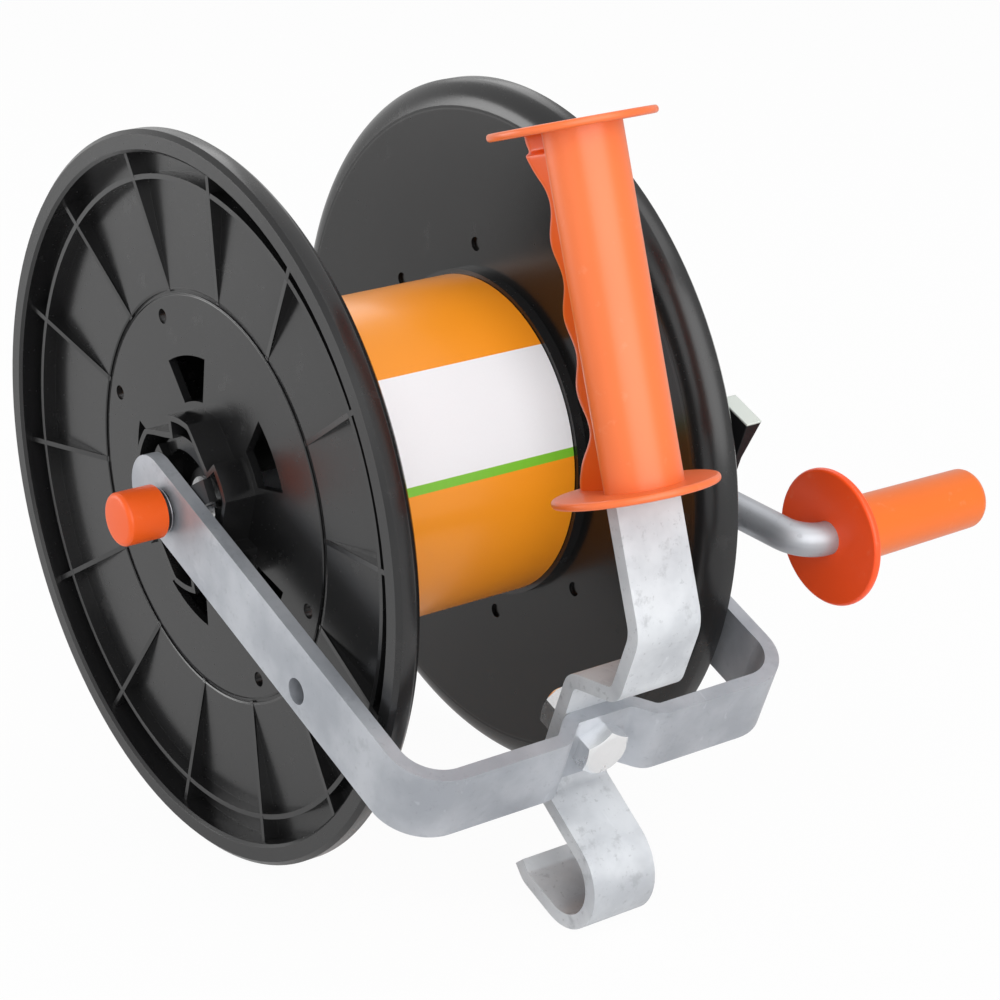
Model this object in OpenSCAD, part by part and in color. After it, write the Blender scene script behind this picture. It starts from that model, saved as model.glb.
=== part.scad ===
// Electric fence reel: a hand held winding drum in a bent steel frame.
// The reel is drawn level, with the axle along X, the hand grip towards minus Y and up along Z.
// It is then tipped forward about the axle until the hook and both flange rims stand on one floor.
// Lengths are in millimetres and angles in degrees. Drum angles count from the front upwards.

/* [Drum] */
// Outer radius of the two flanges
flange_r = 127; // [118:0.5:140]
// Distance from the middle of the drum to the outer face of a flange rim
rim_face = 69; // [60:0.5:90]
// Radial width of the flange rim
rim_w = 7.5; // [6:0.25:12]
// Length of the plain edge of the rim along the axle
rim_t = 6.5; // [4:0.25:8]
// Depth of the flange wall behind the rim face
dish = 9.5; // [8:0.25:14]
// Thickness of the flange wall
wall_t = 3; // [2:0.25:4]
// Number of stiffening ribs on each flange
rib_count = 14; // [8:1:20]
// Thickness of the stiffening ribs
rib_t = 1.8; // [1.2:0.1:3]
// Radius of the flat middle disc, where the ribs start
disc_r = 71.3; // [68:0.1:80]
// Drop from the rim face to the outer end of a rib
rib_drop = 3.3; // [2:0.1:5]
// Distance from the inside of the rim to the inside of the ring rib
ring_gap = 9.5; // [5:0.25:20]
// Outer radius of the drum core
core_r = 57.5; // [54:0.25:59]
// Wall of the drum core
core_t = 2.5; // [1.5:0.1:3]
// Radius of the beads at the ends of the drum core
bead_r = 60; // [59:0.25:63]
// Width of the beads at the ends of the drum core
bead_w = 4; // [2:0.25:8]
// Thickness of the printed wrap round the core
label_t = 0.8; // [0.3:0.1:1.2]

/* [Flange openings] */
// Number of keystone openings in each flange
key_count = 5; // [3:1:6]
// Inner radius of the keystone openings
key_in = 33.5; // [30:0.5:38]
// Outer radius of the keystone openings
key_out = 49.3; // [44:0.1:51]
// Angle that a keystone opening takes at its outer edge
key_angle = 31; // [20:1:40]
// Radius of the near flange's holes for the end of the line, and of the far flange's dimples
line_hole_r = 2.6; // [1.5:0.1:4]
// Distance of the line holes from the axle
line_hole_at = 64; // [63:0.1:66]
// Distance of the dimples inside the far flange from the axle
dimple_at = 69; // [67:0.1:71]
// Depth of the dimples inside the far flange
dimple_deep = 1.2; // [0.5:0.1:2]

/* [Axle and lock] */
// Radius of the axle
axle_r = 4.5; // [4:0.05:4.8]
// Inner radius of the stepped lock collar on each flange
collar_in = 19; // [16:0.25:21]
// Outer radius of the stepped lock collar on each flange
collar_out = 24; // [23.5:0.25:26]
// Height of the low steps of the lock collar above the flange wall
collar_low = 6.2; // [5:0.1:6.4]
// Rise from a low step to a high step
collar_step = 3.3; // [3:0.1:3.5]
// Angle that a low step takes
step_angle = 34; // [30:1:50]
// Number of teeth of the wall round the lock collar
tooth_count = 6; // [4:1:8]
// Outer radius of that wall at the foot of its teeth
tooth_foot = 25; // [24.75:0.25:27]
// Thickness of that wall
tooth_t = 2; // [1.2:0.1:2.3]
// Gap between that wall and the arm
tooth_gap = 1.6; // [0.8:0.1:4]
// Push of the lock knob
lock_travel = 2.8; // [2:0.1:3.4]
// Radius of the lock knob
knob_r = 9.25; // [9:0.05:12]
// Length of the lock knob
knob_len = 15.4; // [14:0.1:24]
// Gap between the lock knob and the arm
knob_gap = 3.3; // [3:0.1:8]
// Radius of the lock sleeve
sleeve_r = 6.4; // [6.2:0.05:6.5]
// Half width of the lock sleeve across its flats
sleeve_flat = 5.7; // [5.4:0.05:5.9]
// Half length of the bar that drops into the collar
dog_len = 22.25; // [21:0.25:22.25]
// Width of the bar that drops into the collar
dog_w = 8; // [5:0.25:9]
// Thickness of the bar that drops into the collar
dog_t = 3; // [2:0.1:3]
// Wire diameter of the lock spring
spring_wire = 0.8; // [0.5:0.05:0.9]
// Number of turns of the lock spring
spring_turns = 5; // [3:1:6]

/* [Frame] */
// Width of the frame bar
bar_w = 25; // [22:0.5:36]
// Thickness of the frame bar
bar_t = 5; // [4:0.25:6]
// Gap between a flange rim and the arm beside it
side_gap = 3.6; // [2:0.1:6]
// Inner radius of the two bends of the frame
bend_r = 13; // [10:0.5:30]
// Distance from the axle to the front face of the crossbar
reach = 156; // [150:0.5:175]
// Length of the arms behind the axle
arm_tail = 22.4; // [20:0.2:30]
// Set back of the seat in the middle of the crossbar
seat_depth = 7.25; // [3:0.25:8]
// Length of that seat between the middles of its two cranks
seat_len = 24; // [18:0.5:30]
// Distance from the axle to the accessory hole in each arm
hole_along = 89; // [80:0.2:95]
// Drop of the accessory hole below the middle of the arm
hole_drop = 4.8; // [2:0.2:8]
// Radius of the accessory holes
hole_r = 4.5; // [3.5:0.05:5]

/* [Handle and hook] */
// Width of the handle strap
strap_w = 25; // [20:0.5:25.5]
// Thickness of the handle strap
strap_t = 5; // [4:0.25:6]
// Offset of the strap from behind the crossbar to in front of it
strap_set = 19.75; // [14:0.25:24]
// Height of the strap's upper cranks above the bolt
crank_high = 36; // [32:0.5:46]
// Height of the strap's lower cranks above the bolt
crank_low = 25.5; // [20:0.5:28]
// Height of the bend that leans the strap back, above the bolt
lean_high = 60.6; // [55:0.2:80]
// Angle by which the hand grip leans back from square to the arms
lean = 39.2; // [25:0.2:45]
// Length of bare strap between that bend and the hand grip
strap_free = 42.5; // [30:0.5:60]
// Drop from the bolt to the bend where the hook begins
hook_drop = 21.6; // [21:0.2:30]
// Slope of the hook shank below the arm direction
hook_slope = 14; // [6:0.5:20]
// Length of the hook shank up to the curl
shank_len = 28; // [15:0.2:40]
// Inner radius of the hook
hook_r = 12.5; // [9:0.25:16]
// Length of the hook's return leg up to its tip
hook_leg = 15.3; // [10:0.2:22]
// Length of the lifted tip of the hook
hook_tip = 5.6; // [3:0.2:10]
// Radius of the hand grip
grip_r = 13.5; // [13.2:0.1:18]
// Length of the hand grip with its end discs
grip_len = 116; // [105:0.5:140]
// Radius of the end discs of the hand grip
grip_disc_r = 26.5; // [24:0.5:32]
// Thickness of the end discs of the hand grip
grip_disc_t = 2.5; // [2:0.25:6]
// Distance from the middle of the hand grip to the back of its finger fin
fin_depth = 27; // [24:0.5:30]
// Thickness of the finger fin
fin_t = 13; // [8:0.5:20]
// Number of finger hollows
finger_count = 4; // [3:1:6]
// Depth of the finger hollows
finger_depth = 5.5; // [3:0.25:7]
// Radius of the bolt that joins the strap and the crossbar
bolt_r = 5; // [4:0.25:6]

/* [Crank] */
// Radius of the crank rod
rod_r = 6; // [5:0.25:6.5]
// Distance from the axle to the crank grip
crank_r = 118; // [100:1:140]
// Angle by which the crank rod leans away from the flange
flare = 10.1; // [8:0.1:20]
// Mid radius of the bend in the crank rod
rod_bend = 12; // [10:0.5:20]
// Angle of the crank above the arms
crank_angle = 12.7; // [-20:0.1:40]
// Length of the crank grip with its disc
crank_grip_len = 69; // [60:0.5:90]
// Radius of the crank grip next to its disc
crank_grip_r = 11.7; // [10.6:0.1:15]
// Loss of radius along the crank grip
crank_taper = 0.9; // [0:0.1:1.5]
// Radius of the crank grip's disc
crank_disc_r = 24.5; // [20:0.5:30]
// Thickness of the crank grip's disc
crank_disc_t = 3; // [2:0.25:5]
// Radius of the crank hub
hub_r = 14; // [13:0.25:18]
// Radius of the ratchet wheel on the crank hub
wheel_r = 32; // [30:0.25:34]
// Thickness of the ratchet wheel
wheel_t = 6; // [4:0.25:8]

/* [Ratchet lever] */
// Length of the pawl from the lever pivot to its tip
pawl_len = 64.5; // [61:0.25:68]
// Radius of the pawl tip
pawl_r = 2.6; // [2:0.1:3]
// Turn of the lever from free to engaged
lever_turn = 6; // [5:0.25:8]
// Height of the lever top above the middle of the arm
lever_high = 73.3; // [60:0.5:85]
// Width of the lever blade
lever_w = 18; // [14:0.5:24]
// Thickness of the lever blade
blade_t = 3; // [2:0.25:6]
// Length of the thumb pad along the axle
pad_len = 6.6; // [6.2:0.2:16]
// Height of the sloping side of the thumb pad
pad_high = 15; // [8:0.5:20]

/* [Clearances] */
// Running clearance of round fits, on the radius
run_fit = 0.06; // [0.02:0.01:0.1]
// Sliding clearance of the lock sleeve in the arm
slide_fit = 0.12; // [0.05:0.01:0.2]
// Free gap between faces that move past each other
free_gap = 0.3; // [0.2:0.05:0.5]

/* [Hidden] */
$fn = 64;

// Flange wall, rim and arms along the axle
wall_out = rim_face - dish;
wall_in = wall_out - wall_t;
rim_in_r = flange_r - rim_w;
ring_rib_r = rim_in_r - ring_gap;
arm_in = rim_face + side_gap;
arm_out = arm_in + bar_t;
tooth_top = arm_in - tooth_gap;
tooth_land = key_in - 2.5;
tooth_pitch = 360 / tooth_count;
tooth_phase = 65.4;
spigot_len = 5;
rim_flare = 9;
ring_rib_t = 1.8;
rib_sink = 1;
step_count = 4;
step_phase = 52;
key_phase = 127.5;
rib_phase = 1.8;
line_hole_phases = [137.7, 182.5, 317.7, 2.5];
// The far flange is the near one turned over, which takes the drum angle a to far_turn - a
far_turn = 299.5;
// Beads stand proud of the core, and the line holes and dimples lie clear of the beads
bead_least = 1.5;
bead_edge = max(bead_r, core_r + bead_least);
hole_clear = 0.4;
hole_least = bead_edge + line_hole_r + hole_clear;
line_hole_row = max(line_hole_at, hole_least);
dimple_row = max(dimple_at, hole_least);

// Lock parts, counted from the middle of the drum towards the near side
dog_face = arm_in - free_gap;
knob_face = arm_out + knob_gap;
knob_end = knob_face + knob_len;
knob_floor = 3.8;
sleeve_end = knob_end - knob_floor;
recess_len = 6;
curl_rings = 8;
spring_mid_r = (sleeve_r + free_gap + spring_wire / 2) / cos(180 / curl_rings);
recess_r = spring_mid_r + spring_wire / 2 + free_gap;
axle_near_end = sleeve_end - lock_travel - 2;

// Axle fittings on both sides
boss_r = 11;
near_boss = wall_out + 1.5;
clip_t = 1.2;
clip_r = 8;
bush_r = axle_r + 2.5;
bush_flange_t = 1.8;
far_boss = arm_in - bush_flange_t - free_gap;
drive_pin_r = 2;
pin_sink = 0.3;
hole_past = 1;
washer_t = 0.9;

// Crank, in its own plane: r is the distance from the axle and x runs along the axle
hub_face = arm_out + free_gap + washer_t;
socket_r = rod_r + 4;
rod_start = axle_r + 3.5;
hub_mid = hub_face + wheel_t + 1.5;
hub_end = hub_mid + rod_r + rod_start * tan(flare) + 3.4;
socket_end = wheel_r - 5.5;
rod_cut = rod_bend * tan((90 - flare) / 2);
corner_x = hub_mid + crank_r * tan(flare);
grip_start = corner_x + rod_cut + 0.6;
grip_end = grip_start + crank_grip_len;
rod_end = grip_end - 5;
ring_t = 1.6;
ring_r = rod_r + 1.4;
ring_back = 12;
ring_at = rod_end - ring_back;
hub_pin_r = 2.5;
rod_pin_r = 2;
notch_count = 12;
notch_r = pawl_r + 1.6;

// Lever pivot and pawl, in the level frame
pivot = [-hole_along, -hole_drop];
pivot_r = norm(pivot);
pivot_dir = atan2(-pivot[1], -pivot[0]);
mesh_r = wheel_r + 0.8;
mesh_angle = acos((pivot_r ^ 2 + pawl_len ^ 2 - mesh_r ^ 2) / (2 * pivot_r * pawl_len));
pawl_dir = pivot_dir + mesh_angle + lever_turn;
pawl_tip = pivot + pawl_len * [cos(pawl_dir), sin(pawl_dir)];
mesh_dir = pivot_dir + mesh_angle;
mesh_tip = pivot + pawl_len * [cos(mesh_dir), sin(mesh_dir)];
mesh_phase = atan2(mesh_tip[1], -mesh_tip[0]);
lever_in = arm_out + free_gap;
lever_out = hub_face + wheel_t;
lever_boss_r = 11;
lever_bolt_r = hole_r - run_fit / 2;
lever_washer_t = 1.2;
lever_head_t = 5.3;
lever_nut_t = 6.5;
lever_hex_r = hole_r + 3;

// Crossbar, strap and hook in the level frame, as [y, z] points on the middle of the strap
seat_face = reach - seat_depth;
strap_back = seat_face - bar_t - strap_t / 2;
strap_front = strap_back + strap_set;
shank_dir = [-cos(hook_slope), -sin(hook_slope)];
curl_turn = 180 - hook_slope;
curl_r = hook_r + strap_t / 2;
curl_cut = curl_r * tan(curl_turn / 2);
strap_in = 100;
lean_dir = [sin(lean), cos(lean)];
lean_at = [-strap_front, lean_high];
hook_at = [-strap_back, -hook_drop];
curl_at = hook_at + (shank_len + curl_cut) * shank_dir;
leg_end = curl_at + (curl_cut + hook_leg) * [1, 0];
tip_end = leg_end + hook_tip * [cos(30), sin(30)];
curl_mid = hook_at + shank_len * shank_dir + curl_r * turned(shank_dir, 90);
strap_points = [lean_at + (strap_free + strap_in) * lean_dir, lean_at, [-strap_front, crank_high],
                [-strap_back, crank_low], hook_at, curl_at, leg_end, tip_end];
strap_radii = [0, 12, 5.5, 5.5, 7.5, curl_r, 5, 0];

// Tip of the level reel that brings the hook down to the floor under the rims
frame_tilt = asin((flange_r - hook_r - strap_t) / norm(curl_mid)) - atan2(-curl_mid[1], -curl_mid[0]);

// Bends are a hair thinner than their bar and lap a little into the straights
bend_thin = 0.04;
bend_lap = 1.5;

bolt_head_t = 6.4;
bolt_hex_r = 9.24;
nut_t = 8;
bolt_washer_t = 2;
bolt_tail = 2.5;
washer_face = strap_back - strap_t / 2;

zinc = [0.72, 0.73, 0.75];
galvanised = [0.66, 0.68, 0.71];
black = [0.13, 0.13, 0.14];
orange = [0.95, 0.38, 0.14];

// A vector turned by an angle, counted from y towards z
function turned(p, a) = [p[0] * cos(a) - p[1] * sin(a), p[0] * sin(a) + p[1] * cos(a)];
// Unit vector from a to b
function heading(a, b) = (b - a) / norm(b - a);
// Signed angle from one unit vector to another
function turn_of(p, q) = atan2(p[0] * q[1] - p[1] * q[0], p * q);
// Length that a bend of mid radius r takes from each straight beside it
function bend_cut(p, q, r) = r * tan(abs(turn_of(p, q)) / 2);

// Everything is drawn level and tipped forward here
module tip() rotate([frame_tilt, 0, 0]) children();
// A profile of [radius, x] points turned about the axle
module turn_x() rotate([0, 90, 0]) rotate_extrude($fn = 128) children();
// A straight rod along the axle between two places
module rod_x(r, from, to) translate([from, 0, 0]) rotate([0, 90, 0]) cylinder(r = r, h = to - from);
// Children drawn at the front are carried up round the axle
module at_angle(a) rotate([-a, 0, 0]) children();
// A flat shape given in [y, z], with thickness along the axle
module slab_x(from, to) translate([from, 0, 0]) rotate([90, 0, 90]) linear_extrude(to - from) children();

// Part of a ring of mid radius r and width t about c, from angle a over a sweep
module arc_bar(c, r, t, a, sweep) {
    far = 2 * (r + t);
    intersection() {
        translate(c)
            difference() {
                circle(r + t / 2, $fn = 96);
                circle(r - t / 2, $fn = 96);
            }
        polygon(concat([c], [for (i = [0 : 6]) c + far * [cos(a + sweep * i / 6), sin(a + sweep * i / 6)]]));
    }
}

// Straights of a flat bar seen on edge, through pts and cut back for the bends
module bar_straights(pts, radii, t) {
    n = len(pts);
    for (i = [0 : n - 2]) {
        d = heading(pts[i], pts[i + 1]);
        a = i == 0 ? 0 : bend_cut(heading(pts[i - 1], pts[i]), d, radii[i]);
        b = i == n - 2 ? 0 : bend_cut(d, heading(pts[i + 1], pts[i + 2]), radii[i + 1]);
        side = [-d[1], d[0]] * t / 2;
        p = pts[i] + a * d;
        q = pts[i + 1] - b * d;
        polygon([p + side, q + side, q - side, p - side]);
    }
}

// Bends of that bar, with the mid radii at the inner points
module bar_bends(pts, radii, t) {
    for (i = [1 : len(pts) - 2]) {
        d = heading(pts[i - 1], pts[i]);
        e = heading(pts[i], pts[i + 1]);
        sweep = turn_of(d, e);
        left = sign(sweep) * [-d[1], d[0]];
        c = pts[i] - bend_cut(d, e, radii[i]) * d + radii[i] * left;
        lap = bend_lap * sign(sweep);
        arc_bar(c, radii[i], t - bend_thin, atan2(-left[1], -left[0]) - lap, sweep + 2 * lap);
    }
}

// A flat bar of thickness t and width w, bent along pts
module bent_bar(pts, radii, t, w) {
    union() {
        linear_extrude(w) bar_straights(pts, radii, t);
        linear_extrude(w) bar_bends(pts, radii, t);
    }
}

// Two round ends joined by their common tangents
module link(p, q, rp, rq) {
    d = heading(p, q);
    a = acos((rp - rq) / norm(q - p));
    up = turned(d, a);
    down = turned(d, -a);
    translate(p) circle(rp);
    translate(q) circle(rq);
    polygon([p + rp * up, p + rp * down, q + rq * down, q + rq * up]);
}

// Round shape of the lock sleeve with two flats, grown by a clearance
module double_d(gap) {
    intersection() {
        circle(sleeve_r + gap);
        square([4 * sleeve_r, 2 * (sleeve_flat + gap)], center = true);
    }
}

// A coil of round wire along x, built ring by ring; it prints the least gap between its turns
module coil(r, wire, turns, from, to) {
    rings = turns * curl_rings;
    sides = 6;
    mids = [for (i = [0 : rings])
        let (a = 360 * i / curl_rings)
        [from + (to - from) * i / rings, r * cos(a), r * sin(a)]];
    gaps = [for (i = [0 : rings - curl_rings + 1], j = [i + curl_rings - 1 : rings]) norm(mids[j] - mids[i])];
    echo(least_gap = min(gaps) - wire);
    pts = [for (i = [0 : rings], k = [0 : sides - 1])
        let (a = 360 * i / curl_rings, b = 360 * k / sides, w = r + wire / 2 * cos(b))
        [mids[i][0] + wire / 2 * sin(b), w * cos(a), w * sin(a)]];
    ends = [[for (k = [0 : sides - 1]) k], [for (k = [sides - 1 : -1 : 0]) rings * sides + k]];
    skin = [for (i = [0 : rings - 1], k = [0 : sides - 1])
        let (a = i * sides + k, b = i * sides + (k + 1) % sides)
        each [[a, a + sides, b], [b, a + sides, b + sides]]];
    polyhedron(pts, concat(ends, skin), convexity = 8);
}

// Steel bar bent to a U, with a pressed seat in the crossbar
module u_frame() {
    mid = arm_in + bar_t / 2;
    front = -(reach - bar_t / 2);
    seat = -(seat_face - bar_t / 2);
    s = seat_len / 2;
    r = bend_r + bar_t / 2;
    pts = [[-mid, arm_tail], [-mid, front], [-s - seat_depth, front], [-s, seat],
           [s, seat], [s + seat_depth, front], [mid, front], [mid, arm_tail]];
    radii = [0, r, 6, 6, 6, 6, r, 0];
    color(galvanised)
        tip()
            difference() {
                translate([0, 0, -bar_w / 2]) bent_bar(pts, radii, bar_t, bar_w);
                for (side = [-1, 1]) {
                    slab_x(side * mid - bar_t, side * mid + bar_t) arm_end_cut();
                    slab_x(side * mid - bar_t, side * mid + bar_t) translate(pivot) circle(hole_r);
                }
                slab_x(-mid - bar_t, -mid + bar_t) rotate(90 - step_phase) double_d(slide_fit);
                rod_x(bush_r, mid - bar_t, mid + bar_t);
                rotate([90, 0, 0]) cylinder(r = bolt_r + slide_fit, h = 2 * reach);
            }
}

// What is taken off the end of an arm to round it
module arm_end_cut() {
    r = bar_w / 2;
    difference() {
        translate([arm_tail - r, -bar_w]) square([2 * r, 2 * bar_w]);
        translate([arm_tail - r, 0]) circle(r);
    }
}

// Flat strap that carries the hand grip, passes behind the crossbar and ends in the hook
module handle_strap() {
    color([0.84, 0.85, 0.87])
        tip()
            difference() {
                translate([-strap_w / 2, 0, 0])
                    rotate([90, 0, 90])
                        bent_bar(strap_points, strap_radii, strap_t, strap_w);
                translate([0, -washer_face + strap_t, 0])
                    rotate([90, 0, 0])
                        cylinder(r = bolt_r + slide_fit, h = 3 * strap_t);
            }
}

// Hexagon bolt through the crossbar and the strap
module frame_bolt() {
    end = washer_face - bolt_washer_t - nut_t - bolt_tail;
    color(zinc)
        tip() {
            translate([0, -seat_face, 0]) rotate([90, 0, 0]) cylinder(r = bolt_hex_r, h = bolt_head_t, $fn = 6);
            translate([0, -end, 0]) rotate([90, 0, 0]) cylinder(r = bolt_r, h = seat_face - end);
        }
}

// Plain washer behind the strap
module frame_washer() {
    color(zinc)
        tip()
            translate([0, -washer_face + bolt_washer_t, 0])
                rotate([90, 0, 0])
                    difference() {
                        cylinder(r = bolt_r * 2, h = bolt_washer_t);
                        translate([0, 0, -1]) cylinder(r = bolt_r, h = bolt_washer_t + 2);
                    }
}

// Nut on the drum side of the strap
module frame_nut() {
    color(zinc)
        tip()
            translate([0, -washer_face + bolt_washer_t + nut_t, 0])
                rotate([90, 0, 0])
                    difference() {
                        cylinder(r = bolt_hex_r, h = nut_t, $fn = 6);
                        translate([0, 0, -1]) cylinder(r = bolt_r, h = nut_t + 2);
                    }
}

// Moulded grip with two discs and a finned back for the fingers
module hand_grip() {
    start = lean_at + strap_free * lean_dir;
    pitch = (grip_len - 2 * grip_disc_t) / finger_count;
    hollow_r = (pitch ^ 2 / 4 + finger_depth ^ 2) / (2 * finger_depth);
    color(orange)
        tip()
            translate([0, start[0], start[1]])
                rotate([-lean, 0, 0])
                    difference() {
                        union() {
                            cylinder(r = grip_r, h = grip_len);
                            slab_x(-fin_t / 2, fin_t / 2)
                                difference() {
                                    square([fin_depth, grip_len]);
                                    for (i = [0 : finger_count - 1])
                                        translate([fin_depth - finger_depth + hollow_r,
                                                   grip_disc_t + (i + 0.5) * pitch])
                                            circle(hollow_r);
                                }
                            for (z = [0, grip_len - grip_disc_t])
                                translate([0, 3, z]) cylinder(r = grip_disc_r, h = grip_disc_t, $fn = 96);
                        }
                        translate([-strap_w / 2, -strap_t / 2, -1]) cube([strap_w, strap_t, strap_in + 1]);
                    }
}

// Flanged plastic bush that carries the axle in the far arm
module far_bush() {
    color(black)
        tip()
            difference() {
                union() {
                    rod_x(bush_r, arm_in - 1, arm_out);
                    rod_x(boss_r, arm_in - bush_flange_t, arm_in);
                }
                rod_x(axle_r + run_fit, far_boss, arm_out + 1);
            }
}

// Shoulder bolt on which the ratchet lever turns
module lever_bolt() {
    head = lever_out + free_gap + lever_washer_t;
    color(zinc)
        tip()
            translate([0, pivot[0], pivot[1]]) {
                rod_x(lever_bolt_r, arm_in - lever_nut_t - 1.5, head);
                translate([head, 0, 0]) rotate([0, 90, 0]) cylinder(r = lever_hex_r, h = lever_head_t, $fn = 6);
            }
}

// Washer under the head of the lever bolt
module lever_washer() {
    from = lever_out + free_gap;
    color(zinc)
        tip()
            translate([0, pivot[0], pivot[1]])
                difference() {
                    rod_x(lever_hex_r + 1, from, from + lever_washer_t);
                    rod_x(lever_bolt_r, from - 1, from + lever_washer_t + 1);
                }
}

// Nut of the lever bolt, on the drum side of the far arm
module lever_nut() {
    color(zinc)
        tip()
            translate([arm_in - lever_nut_t, pivot[0], pivot[1]])
                rotate([0, 90, 0])
                    difference() {
                        cylinder(r = lever_hex_r, h = lever_nut_t, $fn = 6);
                        translate([0, 0, -1]) cylinder(r = lever_bolt_r, h = lever_nut_t + 2);
                    }
}

// Keystone opening, drawn at the front
module keystone() {
    half = key_angle / 2;
    inner = half * 0.65;
    far = key_out + 4;
    intersection() {
        difference() {
            circle(key_out, $fn = 128);
            circle(key_in, $fn = 128);
        }
        polygon([[-key_in * cos(inner) + 1, key_in * sin(inner)], [-far * cos(half), far * sin(half)],
                 [-far * cos(half), -far * sin(half)], [-key_in * cos(inner) + 1, -key_in * sin(inner)]]);
    }
}

// Wall, rim and ring rib of a flange on the plus side, with a boss of the given end
module flange_body(boss_end) {
    rise = (dish - rib_drop) / (rim_in_r - disc_r);
    ring_top = wall_out + rise * (ring_rib_r - disc_r);
    turn_x()
        polygon([[axle_r, wall_in], [flange_r - rim_flare, wall_in], [flange_r, rim_face - rim_t],
                 [flange_r, rim_face - 1.5], [flange_r - 1.5, rim_face], [rim_in_r + 1, rim_face],
                 [rim_in_r, rim_face - 1], [rim_in_r, wall_out], [disc_r + 0.6, wall_out],
                 [disc_r + 0.6, wall_out - 0.8], [disc_r - 0.6, wall_out - 0.8], [disc_r - 0.6, wall_out],
                 [axle_r, wall_out]]);
    turn_x() translate([ring_rib_r, wall_out - rib_sink]) square([ring_rib_t, ring_top - wall_out + rib_sink]);
    turn_x()
        translate([collar_in, wall_out - rib_sink])
            square([collar_out - collar_in, collar_low + collar_step + rib_sink]);
    turn_x() translate([axle_r, wall_out - rib_sink]) square([boss_r - axle_r, boss_end - wall_out + rib_sink]);
    turn_x() translate([core_r - core_t - 2.5, wall_in - spigot_len]) square([2.5, spigot_len + rib_sink]);
    for (i = [0 : rib_count - 1])
        at_angle(rib_phase + 360 * i / rib_count)
            translate([0, 0, -rib_t / 2])
                linear_extrude(rib_t)
                    polygon([[wall_out - rib_sink, -disc_r], [wall_out, -disc_r],
                             [rim_face - rib_drop, -rim_in_r - 0.5], [wall_out - rib_sink, -rim_in_r - 0.5]]);
}

// What is taken off the lock collar to leave its low steps
module collar_cuts() {
    half = step_angle / 2;
    near = (boss_r + collar_in) / 2;
    far = (collar_out + key_in) / 2 + 2;
    for (i = [0 : step_count - 1])
        at_angle(step_phase + 360 * i / step_count)
            slab_x(wall_out + collar_low, wall_out + collar_low + collar_step + 1)
                polygon([[-near * cos(half), near * sin(half)], [-far * cos(half), far * sin(half)],
                         [-far * cos(half), -far * sin(half)], [-near * cos(half), -near * sin(half)]]);
}

// Outer radius of the toothed wall, u being the share of the pitch behind the start of a tooth
function tooth_r(u) = u < 0.42 ? tooth_land
                               : tooth_foot + (tooth_land - tooth_foot) * ((1 - u) / 0.58) ^ 2;
// A point of that wall in [y, z], at share u of tooth i
function tooth_at(r, i, u) = let (a = tooth_phase - tooth_pitch * (i + u)) r * [-cos(a), sin(a)];

// Wall of even thickness round the lock collar, that falls away behind each tooth
module toothed_wall() {
    cuts = 24;
    back = tooth_t / tooth_land * 180 / PI / tooth_pitch;
    outer = [for (i = [0 : tooth_count - 1], k = [0 : cuts]) tooth_at(tooth_r(k / cuts), i, k / cuts)];
    inner = [for (i = [0 : tooth_count - 1])
        each concat([for (k = [0 : cuts])
                        let (u = back + (1 - back) * k / cuts)
                        tooth_at(tooth_r(u) - tooth_t, i, u)],
                    [tooth_at(tooth_foot - tooth_t, i, 1 + back)])];
    slab_x(wall_out - rib_sink, tooth_top)
        difference() {
            polygon(outer);
            polygon(inner);
        }
}

// A whole flange on the plus side, with round holes in a row round the axle that end at a place along it
module flange(boss_end, hole_row, hole_end) {
    toothed_wall();
    difference() {
        flange_body(boss_end);
        collar_cuts();
        for (i = [0 : key_count - 1])
            at_angle(key_phase + 360 * i / key_count) slab_x(wall_in - 1, wall_out + 1) keystone();
        for (a = line_hole_phases)
            at_angle(a) translate([0, -hole_row, 0]) rod_x(line_hole_r, wall_in - 1, hole_end);
    }
}

// Flange on the side of the lock
module near_flange() {
    color(black) tip() mirror([1, 0, 0]) flange(near_boss, line_hole_row, wall_out + hole_past);
}

// Flange on the side of the crank, pinned to the axle
module far_flange() {
    fold = far_turn / 2 - 90;
    color(black)
        tip()
            difference() {
                mirror([0, -cos(fold), sin(fold)]) flange(far_boss, dimple_row, wall_in + dimple_deep);
                drive_pin_hole(hole_past);
            }
}

// Place of the drive pin across the axle, as a hole that runs past the boss or a pin that stays inside
module drive_pin_hole(past) {
    at = (wall_out + far_boss) / 2;
    translate([at, 0, -boss_r - past]) cylinder(r = drive_pin_r, h = 2 * (boss_r + past));
}

// Tube between the flanges, with a bead at each end
module drum_core() {
    color(black)
        tip()
            turn_x()
                polygon([[core_r - core_t, -wall_in], [bead_edge, -wall_in], [bead_edge, bead_w - wall_in],
                         [core_r, bead_w - wall_in], [core_r, wall_in - bead_w],
                         [bead_edge, wall_in - bead_w], [bead_edge, wall_in], [core_r - core_t, wall_in]]);
}

// Printed wrap round the core
module label_wrap() {
    half = wall_in - bead_w - free_gap;
    color([0.97, 0.57, 0.12]) tip() turn_x() translate([core_r, -half]) square([label_t, 2 * half]);
}

// Axle that turns with the drum
module axle() {
    color(zinc)
        tip()
            difference() {
                rod_x(axle_r, -axle_near_end, hub_end - 1);
                drive_pin_hole(hole_past);
                hub_pin_hole(hole_past);
            }
}

// Ring that holds the near flange on the axle
module axle_clip() {
    color(zinc) tip() turn_x() translate([axle_r, -near_boss - clip_t]) square([clip_r - axle_r, clip_t]);
}

// Pin that ties the far flange to the axle
module drive_pin() {
    color(zinc) tip() drive_pin_hole(-pin_sink);
}

// Washer between the far arm and the crank hub
module thrust_washer() {
    color(zinc) tip() turn_x() translate([axle_r, hub_face - washer_t]) square([boss_r - axle_r - 1, washer_t]);
}

// Children drawn in the crank plane with the crank at the front
module in_crank() at_angle(crank_angle) children();

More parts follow.
